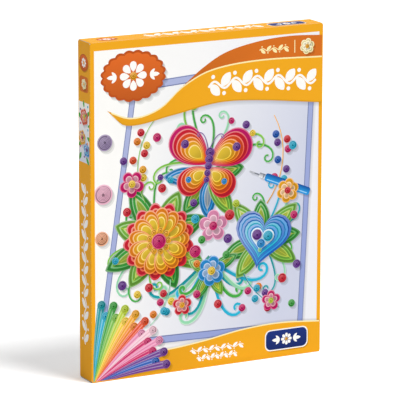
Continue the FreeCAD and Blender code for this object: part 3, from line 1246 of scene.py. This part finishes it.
class CK_OT_tuck_flap(bpy.types.Operator):
    """Dress the closing panel and its tongue"""

    bl_idname = "ck.tuck_flap"
    bl_label = "Tuck flap"

    def execute(self, context):
        piece, shell = board_shell("top_flap", "printed_tuck_flap")
        for face in shell.faces:
            if abs(face.normal.x) > 0.9:
                face.material_index = EDGE
            elif face.normal.z > 0.5 or face.normal.y < -0.5 or face.calc_center_median().y > HINGE[1]:
                face.material_index = PRINTED
            else:
                face.material_index = INSIDE
        right, up, back = Vector((1, 0, 0)), Vector((0, 0, 1)), Vector((0, 1, 0))
        tongue = [face for face in shell.faces if face.normal.y < -0.9 and face.calc_area() > 1e-4]
        lean = tongue[0].normal
        stop_ink(shell, tongue, (up - lean * lean.dot(up)).normalized())
        print_on(shell, flat_panel(shell, up, HEIGHT), top_print(context.scene.ck_print), right, back)
        finish_shell(piece, shell, "top_flap", "flap")
        return {"FINISHED"}


def studio_floor(studio):
    """A floor that the camera sees as white, with the shadow of the box on it."""
    bpy.ops.mesh.primitive_plane_add(size=studio.floor_size, location=(0, 0, 0))
    floor = bpy.context.active_object
    floor.name = "studio_floor"
    material = bpy.data.materials.new("Studio floor")
    material.use_nodes = True
    tree = material.node_tree
    grain = noise_node(tree, tree.nodes.new("ShaderNodeTexCoord").outputs["Object"], 6.0, 2.0)
    paper = mix_node(tree, grain, (0.79, 0.79, 0.79, 1.0), (0.81, 0.81, 0.81, 1.0))
    seen = tree.nodes.new("ShaderNodeLightPath").outputs["Is Camera Ray"]
    feed(tree, tree.nodes["Principled BSDF"], {
        "Base Color": mix_node(tree, seen, paper, (0.99, 0.99, 0.99, 1.0)),
        "Roughness": 0.9,
        "Specular IOR Level": 0.1,
        "Emission Color": (1.0, 1.0, 1.0, 1.0),
        "Emission Strength": math_node(tree, "MULTIPLY", seen, studio.floor_glow),
    })
    floor.data.materials.append(material)


def studio_light(studio):
    """Soft white light from all round, which the camera sees as plain white, and a key light."""
    world = bpy.data.worlds.new("Studio")
    bpy.context.scene.world = world
    world.use_nodes = True
    tree = world.node_tree
    path = tree.nodes.new("ShaderNodeLightPath")
    seen = math_node(tree, "MAXIMUM", path.outputs["Is Camera Ray"], path.outputs["Is Glossy Ray"])
    strength = span_node(tree, seen, 0.0, 1.0, studio.sky, 1.0)
    feed(tree, tree.nodes["Background"], {"Color": (1.0, 1.0, 1.0, 1.0), "Strength": strength})

    key = bpy.data.lights.new("Key light", "SUN")
    key.energy = studio.sun
    key.angle = studio.sun_width
    lamp = bpy.data.objects.new("Key light", key)
    bpy.context.scene.collection.objects.link(lamp)
    lamp.rotation_euler = Vector(studio.sun_from).to_track_quat("Z", "Y").to_euler()


def studio_camera(studio):
    """The camera, as the photo was taken."""
    data = bpy.data.cameras.new("Camera")
    data.lens = studio.lens
    data.sensor_width = 36.0
    data.clip_end = 100.0
    camera = bpy.data.objects.new("Camera", data)
    bpy.context.scene.collection.objects.link(camera)
    target = Vector((0.0, 0.0, HEIGHT / 2 * MM)) + Vector(studio.aim)
    back = Vector((
        math.sin(studio.azimuth) * math.cos(studio.elevation),
        -math.cos(studio.azimuth) * math.cos(studio.elevation),
        math.sin(studio.elevation),
    ))
    camera.location = target + back * studio.distance
    camera.rotation_euler = (-back).to_track_quat("-Z", "Y").to_euler()
    camera.rotation_euler.rotate_axis("Z", studio.roll)
    bpy.context.scene.camera = camera


class CK_OT_stage(bpy.types.Operator):
    """Set the floor, the light and the camera"""

    bl_idname = "ck.stage"
    bl_label = "Stage"

    def execute(self, context):
        studio = context.scene.ck_studio
        context.scene.view_settings.view_transform = "Standard"
        bpy.ops.object.select_all(action="DESELECT")
        studio_floor(studio)
        studio_light(studio)
        studio_camera(studio)
        return {"FINISHED"}


class CK_PT_panel(bpy.types.Panel):
    """Lists the steps that dress the box"""

    bl_idname = "CK_PT_panel"
    bl_label = "Craft kit box"
    bl_space_type = "VIEW_3D"
    bl_region_type = "UI"
    bl_category = "Craft kit box"

    def draw(self, context):
        for operator in OPERATORS:
            self.layout.operator(operator.bl_idname)


GROUPS = (CK_BoardSizes, CK_PrintColours, CK_Studio)
OPERATORS = (CK_OT_carton, CK_OT_tuck_flap, CK_OT_stage)


def register():
    """Adds the classes and their settings."""
    for kind in (*GROUPS, *OPERATORS, CK_PT_panel):
        bpy.utils.register_class(kind)
    bpy.types.Scene.ck_board = bpy.props.PointerProperty(type=CK_BoardSizes)
    bpy.types.Scene.ck_print = bpy.props.PointerProperty(type=CK_PrintColours)
    bpy.types.Scene.ck_studio = bpy.props.PointerProperty(type=CK_Studio)


def unregister():
    """Takes the settings and the classes away again."""
    for name in ("ck_board", "ck_print", "ck_studio"):
        delattr(bpy.types.Scene, name)
    for kind in reversed((*GROUPS, *OPERATORS, CK_PT_panel)):
        bpy.utils.unregister_class(kind)


def main():
    """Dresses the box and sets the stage."""
    register()
    bpy.ops.ck.carton()
    bpy.ops.ck.tuck_flap()
    bpy.ops.ck.stage()


if __name__ == "__main__":
    main()
